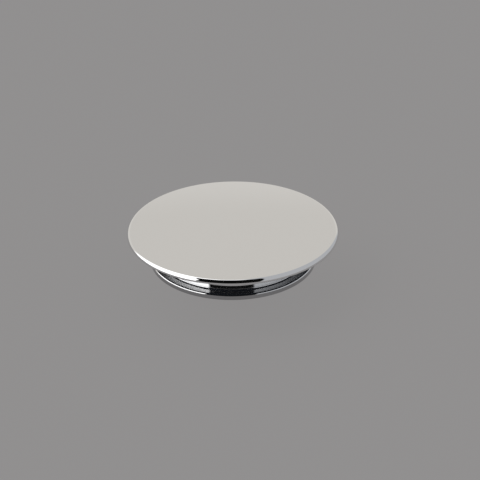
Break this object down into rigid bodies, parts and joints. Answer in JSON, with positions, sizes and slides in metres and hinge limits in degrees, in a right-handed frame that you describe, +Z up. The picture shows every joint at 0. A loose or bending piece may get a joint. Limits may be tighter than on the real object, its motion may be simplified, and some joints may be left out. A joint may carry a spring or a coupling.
{
  "type": "drain stopper",
  "caption": "Push-operated drain stopper: low domed chrome cap over a flanged neck with a bevelled seal, raised and latched by a spring cartridge with a threaded foot.",
  "frame": {"origin": "centre of the foot's underside, which is also the bottom centre of the whole stopper's box", "axes": "+Z up along the stopper's axis, from the foot to the cap; the part is turned about Z, and +X runs along one carrier rib"},
  "size_m": [0.112, 0.112, 0.0345],
  "materials": {
    "chrome_plate": "bright chrome plating",
    "brass": "turned",
    "stainless_steel": "brushed",
    "grey_plastic": "moulded",
    "black_plastic": "moulded",
    "white_plastic": "moulded",
    "black_rubber": "matt"
  },
  "bodies": {
    "cartridge": {"barrel": "black_plastic", "barrel_cap": "black_plastic", "guide_bush": "white_plastic", "stem_wiper": "black_rubber", "return_spring": "stainless_steel", "base_plug": "brass", "barrel_gasket": "black_rubber", "foot_washer": "black_rubber"},
    "head": {"cap": "chrome_plate", "cap_stud": "brass", "cap_gasket": "black_rubber", "skirt": "chrome_plate", "carrier": "grey_plastic", "main_seal": "black_rubber", "seal_retainer": "stainless_steel", "retainer_screws": "stainless_steel", "clamp_washer": "stainless_steel", "threaded_insert": "brass", "plunger": "white_plastic", "index_rotor": "white_plastic", "thrust_washer": "stainless_steel"}
  },
  "joints": [
    {"name": "head_slide", "type": "slide", "parent": "cartridge", "child": "head", "axis": [0, 0, 1], "range_m": [-0.007, 0], "stiffness_N_per_m": 600, "springref_m": 0.02, "deforming": ["return_spring"]}
  ]
}
